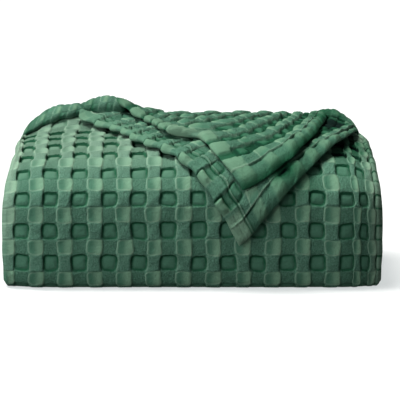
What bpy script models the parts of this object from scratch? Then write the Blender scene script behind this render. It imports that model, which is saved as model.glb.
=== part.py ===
"""Waffle weave cotton blanket, folded into a bundle whose free corner is turned back twice over the top.

The blanket is one sheet, so the model is one solid. Its section (depth y, height z) is a single run:
it starts at the corner of the upper flap, goes back over the top, turns in under the fold of the lower
flap, runs back and forth down through the bundle, turns out along the floor, wraps the front and the
top, and turns forward again into the lower flap, where it ends at the blanket's other turned-back corner.
Widths run along x, the front faces -y, and the bundle rests on z = 0.
"""

from collections import namedtuple

import bmesh
import bpy
import numpy as np

# Driving dimensions, in metres.
WIDTH = 0.410  # across the bundle at its widest
FLOOR_NARROWING = 0.005  # at each side, at the back of the wrap's floor run
TOP_NARROWING = 0.004  # at each side, over the top
WRAP_THICKNESS = 0.0125  # several plies pressed together round the outside
FLAP_THICKNESS = 0.0060  # one ply of the weave
GAP = 0.0018  # between pressed layers
FLAP_GAP = 0.0015  # under each flap
INNER_LAYERS = 8
INNER_BASE = WRAP_THICKNESS + 0.0020  # underside of the lowest inner layer

# Outer surface of the wrapping layer from the side: along the floor, up the front, over the top.
Point = namedtuple("Point", "y z")
OUTER_PROFILE = (
    Point(-0.1200, 0.0000),
    Point(-0.1350, 0.0000),
    Point(-0.1455, 0.0045),
    Point(-0.1500, 0.0160),
    Point(-0.1515, 0.0400),
    Point(-0.1510, 0.0700),
    Point(-0.1460, 0.1040),
    Point(-0.1210, 0.1286),
    Point(-0.0880, 0.1400),
    Point(-0.0535, 0.1460),
    Point(-0.0190, 0.1520),
    Point(0.0160, 0.1550),
    Point(0.0510, 0.1568),
    Point(0.0900, 0.1585),
    Point(0.1250, 0.1600),
)
PROFILE_STEPS = 24  # fine steps between two points of the profile

# Side edges of the two flaps, by the distance along the outer profile.
Edge = namedtuple("Edge", "along left right")
LOWER_FLAP = (
    Edge(0.074, 0.0450, 0.0535),
    Edge(0.092, 0.0375, 0.0675),
    Edge(0.117, 0.0230, 0.0915),
    Edge(0.145, 0.0050, 0.1200),
    Edge(0.180, -0.0140, 0.1440),
    Edge(0.207, -0.0330, 0.1590),
    Edge(0.235, -0.0490, 0.1695),
    Edge(0.274, -0.0770, 0.1820),
    Edge(0.323, -0.0990, 0.1940),
    Edge(0.360, -0.1150, 0.1980),
    Edge(0.374, -0.1240, 0.1980),
    Edge(0.378, -0.1390, 0.1980),
    Edge(0.382, -0.1540, 0.1980),
    Edge(0.386, -0.1680, 0.1980),
    Edge(0.390, -0.1810, 0.1980),
    Edge(0.395, -0.1920, 0.1980),
    Edge(0.400, -0.1980, 0.1980),
)
DENSE_FROM = 0.37  # from here back, each flap has a row at every line of its table
UPPER_FLAP = (
    Edge(0.127, 0.0480, 0.0590),
    Edge(0.143, 0.0385, 0.0795),
    Edge(0.161, 0.0255, 0.0960),
    Edge(0.180, 0.0140, 0.1070),
    Edge(0.204, -0.0020, 0.1190),
    Edge(0.226, -0.0330, 0.1260),
    Edge(0.248, -0.0450, 0.1320),
    Edge(0.278, -0.0575, 0.1400),
    Edge(0.340, -0.0720, 0.1550),
    Edge(0.402, -0.1100, 0.1660),
)
CORNER_STEPS = (0.003, 0.008)  # extra rows behind each flap's corner

# Rows of the sheet along the outer profile, shared by the wrap and the flaps over it.
ROWS_CORNER = (0.004, 0.050, 7)
ROWS_FRONT = (0.066, 0.110, 4)
ROWS_SHOULDER = (0.121, 0.215, 9)
ROWS_TOP = (0.233, 0.400, 9)

# The inner layers' turns, from the top down: which end, its place, and the side edges of the layers there.
Fold = namedtuple("Fold", "y left right")
FRONT_FOLDS = (
    Fold(-0.0980, -0.1960, 0.1930),
    Fold(-0.1200, -0.1990, 0.1985),
    Fold(-0.1220, -0.1975, 0.2000),
    Fold(-0.1190, -0.2000, 0.1970),
)
BACK_FOLDS = (
    Fold(0.1290, -0.1940, 0.1960),
    Fold(0.1320, -0.1995, 0.1975),
    Fold(0.1285, -0.1970, 0.1990),
    Fold(0.1310, -0.2000, 0.2000),
)

# Where the upper flap turns under at the back.
UPPER_TURN_Y = 0.1230
TAPER_FROM_Y, TAPER_TO_Y = 0.0300, 0.0950  # the wrap thins to one ply before its turn
PRESSED_FROM_Y = -0.0980  # the inner layers keep this pitch in front of here

# Loose humps at the back: where the lower and the upper flap stand off the layers below.
Hump = namedtuple("Hump", "x y reach_x reach_y height")
LOWER_HUMPS = (
    Hump(-0.157, 0.118, 0.056, 0.050, 0.018),
    Hump(0.172, 0.125, 0.035, 0.060, 0.006),
)
UPPER_HUMPS = (Hump(-0.100, 0.112, 0.048, 0.048, 0.016),)

# The bundle's sides: the layers draw in and sink towards both ends.
ROUNDING_FROM = 0.150
ROUNDING_POWER = 2.2
SINK_SHARE = 0.055  # of the height, at the ends
DRAW_IN_SHARE = 0.105  # of the depth, at the ends
CENTRING = 0.0063  # along y, so that the origin is at the middle of the bundle's box
WAVE_LENGTH, WAVE_SHARE, WAVE_PHASE = 0.31, 0.008, 0.9  # a slow unevenness across the bundle

# Columns across the sheet, as shares of its width, closer together towards the edges.
COLUMNS = (0.0, 0.03, 0.07, 0.13, 0.25, 0.42, 0.58, 0.75, 0.87, 0.93, 0.97, 1.0)
EDGE_STEPS = 4  # round each side edge
TURN_STEPS = 5  # round each fold
TURN_THINNING = 0.14  # a fold is pulled a little thinner than the layers

# Finish.
COTTON_GREEN = (0.085, 0.175, 0.110, 1.0)
COTTON_ROUGHNESS = 0.92

Station = namedtuple("Station", "y z half left right")


def smooth_step(value, low, high):
    """0 below low, 1 above high, with a soft rise between."""
    t = np.clip((np.asarray(value, float) - low) / (high - low), 0.0, 1.0)
    return t * t * (3.0 - 2.0 * t)


def smooth_curve(points, steps):
    """A Catmull-Rom curve through the points."""
    p = np.array(points, float)
    p = np.vstack([2 * p[0] - p[1], p, 2 * p[-1] - p[-2]])
    curve = []
    for before, start, end, after in zip(p[:-3], p[1:-2], p[2:-1], p[3:]):
        for t in np.linspace(0.0, 1.0, steps, endpoint=False):
            curve.append(
                0.5 * (2 * start + (end - before) * t
                       + (2 * before - 5 * start + 4 * end - after) * t ** 2
                       + (3 * start - before - 3 * end + after) * t ** 3)
            )
    curve.append(p[-2])
    return np.array(curve)


def left_normals(curve):
    """Unit normals to the left of the way along a curve in the (y, z) plane."""
    along = np.gradient(curve, axis=0)
    along /= np.linalg.norm(along, axis=1)[:, None]
    return np.stack([-along[:, 1], along[:, 0]], axis=1)


OUTER = smooth_curve(OUTER_PROFILE, PROFILE_STEPS)
OUTER_NORMALS = left_normals(OUTER)
ALONG = np.concatenate([[0.0], np.cumsum(np.linalg.norm(np.diff(OUTER, axis=0), axis=1))])
OVER_TOP = OUTER[:, 1] > OUTER_PROFILE[7].z  # the part whose height is a function of y
CREST = OUTER[OVER_TOP]


def on_outer(along, offset):
    """The point at a distance along the outer profile, moved off it along its normal."""
    places = [np.interp(along, ALONG, OUTER[:, k]) for k in (0, 1)]
    normal = [np.interp(along, ALONG, OUTER_NORMALS[:, k]) for k in (0, 1)]
    return places[0] + offset * normal[0], places[1] + offset * normal[1]


def top_height(y):
    """Height of the wrap's outer surface over the bundle's top."""
    return np.interp(y, CREST[:, 0], CREST[:, 1])


def wrap_thickness(y, over_top):
    """The wrap's thickness, which falls to one ply at the back of the top."""
    if not over_top:
        return WRAP_THICKNESS
    share = float(smooth_step(y, TAPER_FROM_Y, TAPER_TO_Y))
    return WRAP_THICKNESS + share * (FLAP_THICKNESS - WRAP_THICKNESS)


def ceiling_curve():
    """The wrap's inner surface over the top."""
    thickness = np.array([wrap_thickness(y, True) for y in CREST[:, 0]])
    return CREST - OUTER_NORMALS[OVER_TOP] * thickness[:, None]


CEILING = ceiling_curve()


def inner_pitch(y):
    """Height of one inner layer with its gap."""
    y = max(y, PRESSED_FROM_Y)
    ceiling = np.interp(y, CEILING[:, 0], CEILING[:, 1]) - GAP
    return (ceiling - INNER_BASE) / INNER_LAYERS


def inner_station(layer, y, left, right):
    """A place on the middle of an inner layer, counted from the top."""
    pitch = inner_pitch(y)
    z = INNER_BASE + (INNER_LAYERS - layer - 0.5) * pitch
    return Station(y, z, 0.5 * (pitch - GAP), left, right)


def slope(near, far):
    """Rise of the sheet's middle along y between two stations."""
    return (far.z - near.z) / (far.y - near.y)


def turn(start, end, reach, lean=0.0, steps=TURN_STEPS):
    """Stations round a fold from one layer to the next, without the two given ones.

    The fold bulges by reach along y, so it is about a half circle when reach is half the height.
    It leans with the slope of the layers that it joins.
    """
    stations = []
    for angle in np.linspace(0.0, np.pi, steps + 2)[1:-1]:
        share = 0.5 * (1.0 - np.cos(angle))
        mixed = [a + share * (b - a) for a, b in zip(start, end)]
        mixed[0] += reach * np.sin(angle)
        mixed[1] += lean * reach * np.sin(angle)
        mixed[2] *= 1.0 - TURN_THINNING * np.sin(angle)
        stations.append(Station(*mixed))
    return stations


def profile_rows(*runs):
    """The distances along the outer profile at which the sheet has a row."""
    return np.concatenate([np.linspace(*run) for run in runs])


def flap_stations(edges, offset):
    """Stations of a flap from its corner to the back, on the outer profile's offset."""
    corner = edges[0].along
    rows = profile_rows(ROWS_FRONT, ROWS_SHOULDER, ROWS_TOP)
    table = np.array(edges)
    dense = table[table[:, 0] > DENSE_FROM, 0]
    rows = [*rows[(rows > corner + 0.012) & (rows < dense[0] - 0.003)], *dense]
    rows = [corner, *(corner + step for step in CORNER_STEPS), *rows]
    stations = []
    for along in rows:
        y, z = on_outer(along, offset)
        left, right = (np.interp(along, table[:, 0], table[:, k]) for k in (1, 2))
        stations.append(Station(y, z, 0.5 * FLAP_THICKNESS, left, right))
    return stations


def run_between(layer, start_fold, end_fold):
    """Stations along an inner layer between two folds, more on the upper, arched layers."""
    places = list(np.linspace(start_fold.y, end_fold.y, max(4, 7 - layer)))
    if min(places) < PRESSED_FROM_Y:
        places.append(PRESSED_FROM_Y)
    places.sort(reverse=start_fold.y > end_fold.y)
    stations = []
    for y in places:
        share = (y - start_fold.y) / (end_fold.y - start_fold.y)
        left = start_fold.left + share * (end_fold.left - start_fold.left)
        right = start_fold.right + share * (end_fold.right - start_fold.right)
        stations.append(inner_station(layer, y, left, right))
    return stations


def inner_stations(start_fold):
    """The back-and-forth run of the inner layers, from the top one's back end to the lowest one's."""
    ends = [start_fold]
    for front, back in zip(FRONT_FOLDS, BACK_FOLDS):
        ends += [front, back]
    stations = []
    for layer in range(INNER_LAYERS):
        run = run_between(layer, ends[layer], ends[layer + 1])
        if stations:
            last, first = stations[-1], run[0]
            side = -1.0 if layer % 2 else 1.0
            lean = 0.5 * (slope(stations[-2], last) + slope(first, run[1]))
            stations += turn(last, first, side * 0.5 * (last.z - first.z), lean)
        stations += run
    return stations


def wrap_stations():
    """The outer layer: along the floor to the front, up it, and over the top to the back."""
    stations = []
    half = 0.5 * WRAP_THICKNESS
    for y in np.linspace(BACK_FOLDS[-1].y, OUTER_PROFILE[0].y + 0.010, 5):
        share = (BACK_FOLDS[-1].y - y) / (BACK_FOLDS[-1].y - OUTER_PROFILE[0].y)
        half_width = 0.5 * WIDTH - FLOOR_NARROWING * (1.0 - share)
        stations.append(Station(y, half, half, -half_width, half_width))
    for along in profile_rows(ROWS_CORNER, ROWS_FRONT, ROWS_SHOULDER, ROWS_TOP):
        y_outer, z_outer = on_outer(along, 0.0)
        thickness = wrap_thickness(y_outer, z_outer > 0.1)
        y, z = on_outer(along, -0.5 * thickness)
        half_width = 0.5 * WIDTH - TOP_NARROWING * float(smooth_step(z_outer, 0.06, 0.15))
        stations.append(Station(y, z, 0.5 * thickness, -half_width, half_width))
    return stations


def section():
    """All stations of the sheet, from the upper flap's corner to the lower flap's."""
    lower_offset = FLAP_GAP + 0.5 * FLAP_THICKNESS
    upper_offset = lower_offset + FLAP_GAP + FLAP_THICKNESS
    upper = flap_stations(UPPER_FLAP, upper_offset)
    lower = flap_stations(LOWER_FLAP, lower_offset)

    start_fold = Fold(UPPER_TURN_Y, -0.1930, 0.1930)
    inner = inner_stations(start_fold)
    upper_reach = 0.5 * (upper[-1].z - inner[0].z)
    upper_turn = turn(upper[-1], inner[0], upper_reach, steps=TURN_STEPS + 2)

    wrap = wrap_stations()
    floor_turn = turn(inner[-1], wrap[0], 0.5 * (inner[-1].z - wrap[0].z))
    lower_turn = turn(wrap[-1], lower[-1], 0.5 * (lower[-1].z - wrap[-1].z))
    return upper + upper_turn + inner + floor_turn + wrap + lower_turn + lower[::-1]


def hump_height(humps, x, y):
    """Height of the soft humps over a place on the bundle's top."""
    height = np.zeros_like(x)
    for hump in humps:
        away = ((x - hump.x) / hump.reach_x) ** 2 + ((y - hump.y) / hump.reach_y) ** 2
        height += hump.height * np.exp(-1.6 * away)
    return height


def settle(points):
    """The bundle's own shape: loose humps at the back, ends that draw in and sink, a slow wave."""
    x, y, z = points.T
    above = z - top_height(y)
    over_wrap = smooth_step(above, -0.006, FLAP_GAP)
    over_lower = smooth_step(above, FLAP_GAP + FLAP_THICKNESS, 2 * FLAP_GAP + FLAP_THICKNESS)
    on_top = smooth_step(y, -0.06, 0.02)
    z = z + on_top * over_wrap * hump_height(LOWER_HUMPS, x, y)
    z = z + on_top * over_lower * hump_height(UPPER_HUMPS, x, y)

    end = np.clip((np.abs(x) - ROUNDING_FROM) / (0.5 * WIDTH - ROUNDING_FROM), 0.0, None)
    rounding = end ** ROUNDING_POWER
    wave = WAVE_SHARE * np.sin(2 * np.pi * x / WAVE_LENGTH + WAVE_PHASE)
    y = y * (1.0 - DRAW_IN_SHARE * rounding) + CENTRING
    z = np.maximum(z * (1.0 - SINK_SHARE * rounding + wave), 0.0)
    return np.stack([x, y, z], axis=1)


def ring(station, normal):
    """The sheet's closed outline across one station: two faces and two round side edges."""
    half, left, right = station.half, station.left + station.half, station.right - station.half
    across = [(left + share * (right - left), half) for share in COLUMNS]
    back = [(x, -half) for x, _ in reversed(across)]
    bend = np.linspace(0.5 * np.pi, -0.5 * np.pi, EDGE_STEPS + 1)[1:-1]
    right_edge = [(right + half * np.cos(a), half * np.sin(a)) for a in bend]
    left_edge = [(left - half * np.cos(a), -half * np.sin(a)) for a in bend]
    return np.array([
        (x, station.y + offset * normal[0], station.z + offset * normal[1])
        for x, offset in across + right_edge + back + left_edge
    ])


def sheet_mesh(name):
    """The closed mesh of the whole folded sheet."""
    stations = section()
    middle = np.array([(station.y, station.z) for station in stations])
    rings = [settle(ring(*pair)) for pair in zip(stations, left_normals(middle))]
    mesh = bpy.data.meshes.new(name)
    shape = bmesh.new()
    loops = [[shape.verts.new(point) for point in one] for one in rings]
    count = len(loops[0])
    for near, far in zip(loops, loops[1:]):
        for i in range(count):
            j = (i + 1) % count
            shape.faces.new((near[i], near[j], far[j], far[i]))
    cap_ends(shape, (loops[0], loops[-1]))
    bmesh.ops.triangulate(shape, faces=shape.faces)
    bmesh.ops.recalc_face_normals(shape, faces=shape.faces)
    shape.to_mesh(mesh)
    shape.free()
    return mesh


def cap_ends(shape, loops):
    """Close the two flap corners with strips from one face to the other."""
    columns = len(COLUMNS)
    for loop in loops:
        top = loop[:columns]
        bottom = loop[columns + EDGE_STEPS - 1:2 * columns + EDGE_STEPS - 1][::-1]
        right_edge = loop[columns:columns + EDGE_STEPS - 1]
        left_edge = loop[2 * columns + EDGE_STEPS - 1:]
        for i in range(columns - 1):
            shape.faces.new((top[i], top[i + 1], bottom[i + 1], bottom[i]))
        shape.faces.new([top[-1], *right_edge, bottom[-1]])
        shape.faces.new([bottom[0], *left_edge, top[0]])


def cotton():
    """Matt green cotton."""
    material = bpy.data.materials.new("cotton")
    material.use_nodes = True
    shader = material.node_tree.nodes["Principled BSDF"]
    shader.inputs["Base Color"].default_value = COTTON_GREEN
    shader.inputs["Roughness"].default_value = COTTON_ROUGHNESS
    shader.inputs["Metallic"].default_value = 0.0
    material.diffuse_color = COTTON_GREEN
    return material


def main():
    for thing in list(bpy.data.objects):
        bpy.data.objects.remove(thing, do_unlink=True)
    blanket = bpy.data.objects.new("blanket", sheet_mesh("blanket"))
    bpy.context.scene.collection.objects.link(blanket)
    blanket.data.materials.append(cotton())
    blanket.data.shade_smooth()


main()
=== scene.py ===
"""Waffle weave cotton blanket, folded into a bundle whose free corner is turned back twice over the top.

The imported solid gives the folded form. Here the same folds carry the cloth's own relief: a wrap round the
outside, two turned-back corners with their hems, three puffed folds at the back and the inner layers.
Places on the wrap, and on what lies over it, are given by x across the bundle, by the distance along the
wrap's outer profile and by the offset from that profile. Lengths are in metres.
"""

import math
from collections import namedtuple

import bmesh
import bpy
import numpy as np
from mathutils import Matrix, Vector


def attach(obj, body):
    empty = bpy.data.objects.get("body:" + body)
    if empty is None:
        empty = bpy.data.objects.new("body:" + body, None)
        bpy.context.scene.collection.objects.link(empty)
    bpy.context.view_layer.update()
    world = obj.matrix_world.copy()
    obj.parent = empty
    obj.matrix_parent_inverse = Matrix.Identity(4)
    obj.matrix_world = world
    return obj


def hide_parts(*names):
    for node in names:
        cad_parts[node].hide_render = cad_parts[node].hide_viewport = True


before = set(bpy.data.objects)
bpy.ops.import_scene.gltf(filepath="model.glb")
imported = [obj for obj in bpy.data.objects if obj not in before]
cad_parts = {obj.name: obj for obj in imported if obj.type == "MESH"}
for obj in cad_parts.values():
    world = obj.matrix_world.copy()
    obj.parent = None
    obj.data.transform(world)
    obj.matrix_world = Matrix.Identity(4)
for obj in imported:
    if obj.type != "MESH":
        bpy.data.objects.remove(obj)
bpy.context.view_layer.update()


def table(columns, *rows):
    """A short table with named columns, each one an array."""
    return namedtuple("Table", columns)(*np.array(rows, float).T)


# The bundle's driving sizes, the same as the solid's.
WIDTH = 0.41
HALF_WIDTH = 0.5 * WIDTH
FLOOR_NARROWING = 0.005
TOP_NARROWING = 0.004
WRAP_THICKNESS = 0.0125
PLY_THICKNESS = 0.006
GAP = 0.0018
FLAP_GAP = 0.0015
INNER_LAYERS = 8
INNER_BASE = WRAP_THICKNESS + 0.002

OUTER_PROFILE = table(
    "y z",
    (-0.12, 0.0), (-0.135, 0.0), (-0.1455, 0.0045), (-0.15, 0.016), (-0.1515, 0.04),
    (-0.151, 0.07), (-0.146, 0.104), (-0.121, 0.1286), (-0.088, 0.14), (-0.0535, 0.146),
    (-0.019, 0.152), (0.016, 0.155), (0.051, 0.1568), (0.09, 0.1585), (0.125, 0.16),
)
PROFILE_STEPS = 24
TOP_ROW = 7  # the profile's row where the top begins

Fold = namedtuple("Fold", "y left right")
FRONT_FOLDS = (
    Fold(-0.098, -0.196, 0.193),
    Fold(-0.12, -0.199, 0.1985),
    Fold(-0.122, -0.1975, 0.2),
    Fold(-0.119, -0.2, 0.197),
)
BACK_FOLDS = (
    Fold(0.129, -0.194, 0.196),
    Fold(0.132, -0.1995, 0.1975),
    Fold(0.1285, -0.197, 0.199),
    Fold(0.131, -0.2, 0.2),
)
UPPER_TURN = Fold(0.123, -0.193, 0.193)
TAPER_Y = (0.03, 0.095)
PRESSED_FROM_Y = -0.098

Mound = namedtuple("Mound", "x along reach_x reach_along height")


def mounds(*rows):
    """A table of soft round mounds, of height or of painted shade."""
    return [Mound(*row) for row in rows]


# Loose cloth at the back, which lifts the flaps. Here along is y.
LOWER_HUMPS = mounds((-0.157, 0.118, 0.056, 0.05, 0.018), (0.172, 0.125, 0.035, 0.06, 0.006))
UPPER_HUMPS = mounds((-0.1, 0.112, 0.048, 0.048, 0.016))
HUMP_NARROWNESS = 1.6
HUMP_Y = (-0.06, 0.02)
LIFT_FROM = -0.006

ROUNDING_FROM = 0.15
ROUNDING_POWER = 2.2
SINK_SHARE = 0.055
DRAW_IN_SHARE = 0.105
CENTRING = 0.0063
WAVE_LENGTH, WAVE_SHARE, WAVE_PHASE = 0.31, 0.008, 0.9

RNG_SEED = 41
RIPPLE_SIZE = 0.6
TURN = 2.0 * math.pi


def unit(value):
    """The value, kept between 0 and 1."""
    return np.clip(value, 0.0, 1.0)


def ramp(value, low, high):
    """0 below low, 1 above high, with a soft rise between."""
    t = unit((np.asarray(value, float) - low) / (high - low))
    return t * t * (3.0 - 2.0 * t)


def fall(value, low, high):
    """1 below low, 0 above high, with a soft fall between."""
    return 1.0 - ramp(value, low, high)


def blend(first, second, share):
    """The first where share is 0, the second where it is 1."""
    return first * (1.0 - share) + second * share


def bell(value, centre, width):
    """A soft ridge of height 1."""
    return np.exp(-((value - centre) / width) ** 2)


def smooth_curve(points, steps):
    """A Catmull-Rom curve through a table of points."""
    p = np.transpose(points)
    p = np.vstack([2 * p[0] - p[1], p, 2 * p[-1] - p[-2]])
    curve = []
    for before, start, end, after in zip(p[:-3], p[1:-2], p[2:-1], p[3:]):
        for t in np.linspace(0.0, 1.0, steps, endpoint=False):
            curve.append(
                0.5 * (2 * start + (end - before) * t
                       + (2 * before - 5 * start + 4 * end - after) * t ** 2
                       + (3 * start - before - 3 * end + after) * t ** 3)
            )
    curve.append(p[-2])
    return np.array(curve)


def left_normals(curve):
    """Unit normals to the left of the way along a curve in the (y, z) plane."""
    along = np.gradient(curve, axis=0)
    along /= np.linalg.norm(along, axis=1)[:, None]
    return np.stack([-along[:, 1], along[:, 0]], axis=1)


def lengths(points):
    """The distance along a line at each of its points."""
    return np.concatenate([[0.0], np.cumsum(np.linalg.norm(np.diff(points, axis=0), axis=1))])


def ripple(p, q, length, seed, waves=7):
    """A smooth seeded unevenness, mostly between -1 and 1, with swells of about the given length."""
    rng = np.random.default_rng(RNG_SEED + seed)
    total = 0.0
    for _ in range(waves):
        angle = rng.uniform(0.0, TURN)
        number = TURN / (length * rng.uniform(0.7, 1.6))
        phase = rng.uniform(0.0, TURN)
        total = total + np.sin(number * (p * math.cos(angle) + q * math.sin(angle)) + phase)
    return total / math.sqrt(0.5 * waves) * RIPPLE_SIZE


def ripples(p, q, *terms):
    """Ripples added up, each with its own height, length and seed."""
    return sum(height * ripple(p, q, length, seed) for height, length, seed in terms)


def cell_noise(i, j, seed):
    """A seeded number between -1 and 1 for each cell of the weave."""
    numbers = np.random.default_rng(RNG_SEED + seed).uniform(-1.0, 1.0, (61, 53))
    return numbers[i.astype(int) % 61, j.astype(int) % 53]


def mound_height(places, x, along, narrowness=1.0):
    """Height of soft round mounds, added up, over places on the cloth."""
    height = np.zeros_like(x)
    for mound in places:
        away = ((x - mound.x) / mound.reach_x) ** 2 + ((along - mound.along) / mound.reach_along) ** 2
        height += mound.height * np.exp(-narrowness * away)
    return height


OUTER = smooth_curve(OUTER_PROFILE, PROFILE_STEPS)
OUTER_NORMALS = left_normals(OUTER)
ALONG = lengths(OUTER)
OVER_TOP = OUTER[:, 1] > OUTER_PROFILE.z[TOP_ROW]
CREST = OUTER[OVER_TOP]


def on_outer(along, offset):
    """Points at distances along the outer profile, moved off it along its normal."""
    y, z = (np.interp(along, ALONG, OUTER[:, k]) for k in (0, 1))
    normal_y, normal_z = (np.interp(along, ALONG, OUTER_NORMALS[:, k]) for k in (0, 1))
    before = np.minimum(along, 0.0)
    return y - before + offset * normal_y, z + offset * normal_z


def top_height(y):
    """Height of the wrap's outer surface over the bundle's top."""
    return np.interp(y, CREST[:, 0], CREST[:, 1])


def wrap_thickness(y, over_top):
    """The wrap's thickness, which falls to one ply at the back of the top."""
    return WRAP_THICKNESS + ramp(y, *TAPER_Y) * over_top * (PLY_THICKNESS - WRAP_THICKNESS)


CEILING = CREST - OUTER_NORMALS[OVER_TOP] * wrap_thickness(CREST[:, 0], 1.0)[:, None]


def settle(x, y, z, above=None):
    """The bundle's own shape: loose humps at the back, ends that draw in and sink, a slow wave.

    above is a sheet's height over the wrap without its relief, which says what the humps lift.
    """
    if above is None:
        above = z - top_height(y)
    over_wrap = ramp(above, LIFT_FROM, FLAP_GAP)
    over_lower = ramp(above, FLAP_GAP + PLY_THICKNESS, 2 * FLAP_GAP + PLY_THICKNESS)
    on_top = ramp(y, *HUMP_Y)
    z = z + on_top * over_wrap * mound_height(LOWER_HUMPS, x, y, HUMP_NARROWNESS)
    z = z + on_top * over_lower * mound_height(UPPER_HUMPS, x, y, HUMP_NARROWNESS)
    end = np.clip((np.abs(x) - ROUNDING_FROM) / (HALF_WIDTH - ROUNDING_FROM), 0.0, None)
    rounding = end ** ROUNDING_POWER
    wave = WAVE_SHARE * np.sin(TURN * x / WAVE_LENGTH + WAVE_PHASE)
    y = y * (1.0 - DRAW_IN_SHARE * rounding) + CENTRING
    z = np.maximum(z * (1.0 - SINK_SHARE * rounding + wave), 0.0)
    return np.stack([x, y, z], axis=-1)


# ---- the weave's relief

# Raised stripes cross rows of pillows. Where neither is, the cell is a sunken square.
# dish: how far a pillow's middle is hollowed; sink: how far the recessed cells lie below the wrap's, which
# also deepens their painted shade; puff: how much rounder the stripes are than the wrap's; wide: the part
# of a period by which a stripe's half width passes a quarter; crown: how far a sunken square swells up;
# edge: how dark the painted shade at its border is.
Weave = namedtuple("Weave", "across along first_across first_along dish sink puff wide crown edge")
WRAP_WEAVE = Weave(0.0316, 0.035, -0.0082, 0.0347, 0.0013, 0.0, 0.0004, 0.0, 0.0034, 1.0)
LOWER_WEAVE = Weave(0.0345, 0.03, 0.0258, 0.009, -0.0006, 0.001, 0.0018, 0.01, 0.0056, 0.55)
UPPER_WEAVE = Weave(0.0345, 0.029, 0.026, 0.009, -0.0006, 0.005, 0.003, 0.035, 0.0044, 1.3)
BACK_WEAVE = Weave(0.0316, 0.035, -0.004, 0.012, 0.0006, 0.0, 0.0004, 0.0, 0.0034, 1.0)
ROLL_WEAVE = Weave(0.019, 0.03, -0.199, 0.012, -0.0006, 0.0, 0.001, 0.02, 0.006, 0.2)

PILLOW_HEIGHT = 0.0055
BRIDGE_HEIGHT = 0.0049  # on a stripe, between two pillows
FLAT_HEIGHT = 0.003  # of the grainy cells beside the pillows
PIT_DEPTH = -0.0016
PIT_CORNER = 0.004
PILLOW_CORNER = 0.0045
RELIEF_TOP = 0.0056
PILLOW_DROP, BRIDGE_DROP, STRIPE_DROP = 0.0007, 0.0002, 0.0014
FLAT_SWELL, FLAT_DROP, FLAT_BORDER = 0.0004, 0.0003, 0.0015
DISH_CENTRE = -0.3  # of the stripe's half width
STRIPE_BULGE = 0.0016
WALL = 0.0007
BORDER = 0.0018
SHOULDER = 0.003
WANDER = 0.0009
WIGGLE = 0.00045
CELL_UNEVEN = 0.00045
PIT_UNEVEN = 0.0003
CELL_TILT = 0.035
CREASE_HEIGHT, CREASE_WIDTH, CREASE_RARITY = 0.0009, 0.0009, 0.62
# Where the painted highlight along a lit edge lies, and how wide it is.
LIGHT_EDGE, LIGHT_WIDTH = 0.0009, 0.0006
# Painted shade may go past 1 up to this, towards a near-black painted shadow.
DARKEST = 1.6

# Grid lines in each half period, closer together at the borders between cells.
CELL_SHARES = (0.0, 0.04, 0.09, 0.165, 0.27, 0.41, 0.59, 0.73, 0.835, 0.91, 0.96)
LINE_MARGIN = 0.0004

# What the material reads: grain in the flat cells; warm, a painted highlight on the pillows' lit halves
# and other lit places; depth, painted shade in seams, hollows and shadowed places, where more than 1 is a
# nearly black painted shadow; and rim, painted highlights on lit edges and a painted sheen over the top.
Marks = namedtuple("Marks", "grain warm depth rim")
Relief = namedtuple("Relief", "height across along marks")
Cells = namedtuple("Cells", "i j gutter gap side over u v in_stripe in_row in_pit stripe row")


def shoulder(distance, reach):
    """Rises from 0 at a border to 1 at reach from it, round like a quarter circle."""
    t = unit(distance / reach)
    return np.sqrt(1.0 - (1.0 - t) ** 2)


def rounded_square(across_in, along_in, corner):
    """Distance inside a square with rounded corners, from the distances inside its straight sides."""
    to_corner = np.hypot(np.clip(corner - across_in, 0.0, None), np.clip(corner - along_in, 0.0, None))
    at_corner = (across_in < corner) & (along_in < corner)
    return np.where(at_corner, corner - to_corner, np.minimum(across_in, along_in))


def weave_cells(across, along, weave):
    """Which cells of the weave the points are in, and how far inside stripe, row and sunken square."""
    column, line = (across - weave.first_across) / weave.across, (along - weave.first_along) / weave.along
    i, j = np.round(column), np.round(line)
    side = across - (weave.first_across + i * weave.across)
    over = along - (weave.first_along + j * weave.along)
    half_stripe, half_row = (0.25 + weave.wide) * weave.across, 0.25 * weave.along
    in_stripe, in_row = half_stripe - np.abs(side), half_row - np.abs(over)
    in_pit = rounded_square(-in_stripe, -in_row, PIT_CORNER)
    return Cells(i, j, np.floor(column), np.floor(line), side, over, side / half_stripe, over / half_row,
                 in_stripe, in_row, in_pit, ramp(in_stripe, -WALL, WALL), ramp(in_row, -WALL, WALL))


def dish_share(u, v):
    """Depth of a pillow's hollow over its cell: 1 at its lowest place, 0 at its border."""
    reach = np.where(u < DISH_CENTRE, 1.0 + DISH_CENTRE, 1.0 - DISH_CENTRE)
    return unit(1.0 - ((u - DISH_CENTRE) / reach) ** 2) * np.sqrt(unit(1.0 - v ** 2))


def crumple(across, along, i, j, seed):
    """Fine creases of the grainy cells, and one sharp crease in a few of them."""
    fine = ripples(across, along, (0.00024, 0.0045, seed), (0.00018, 0.0028, seed + 1))
    angle = 3.0 * cell_noise(i, j, seed + 2)
    place = 0.003 * cell_noise(i, j, seed + 3)
    sharp = bell(across * np.cos(angle) + along * np.sin(angle), place, CREASE_WIDTH)
    return fine + CREASE_HEIGHT * sharp * (cell_noise(i, j, seed + 4) > CREASE_RARITY)


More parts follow.
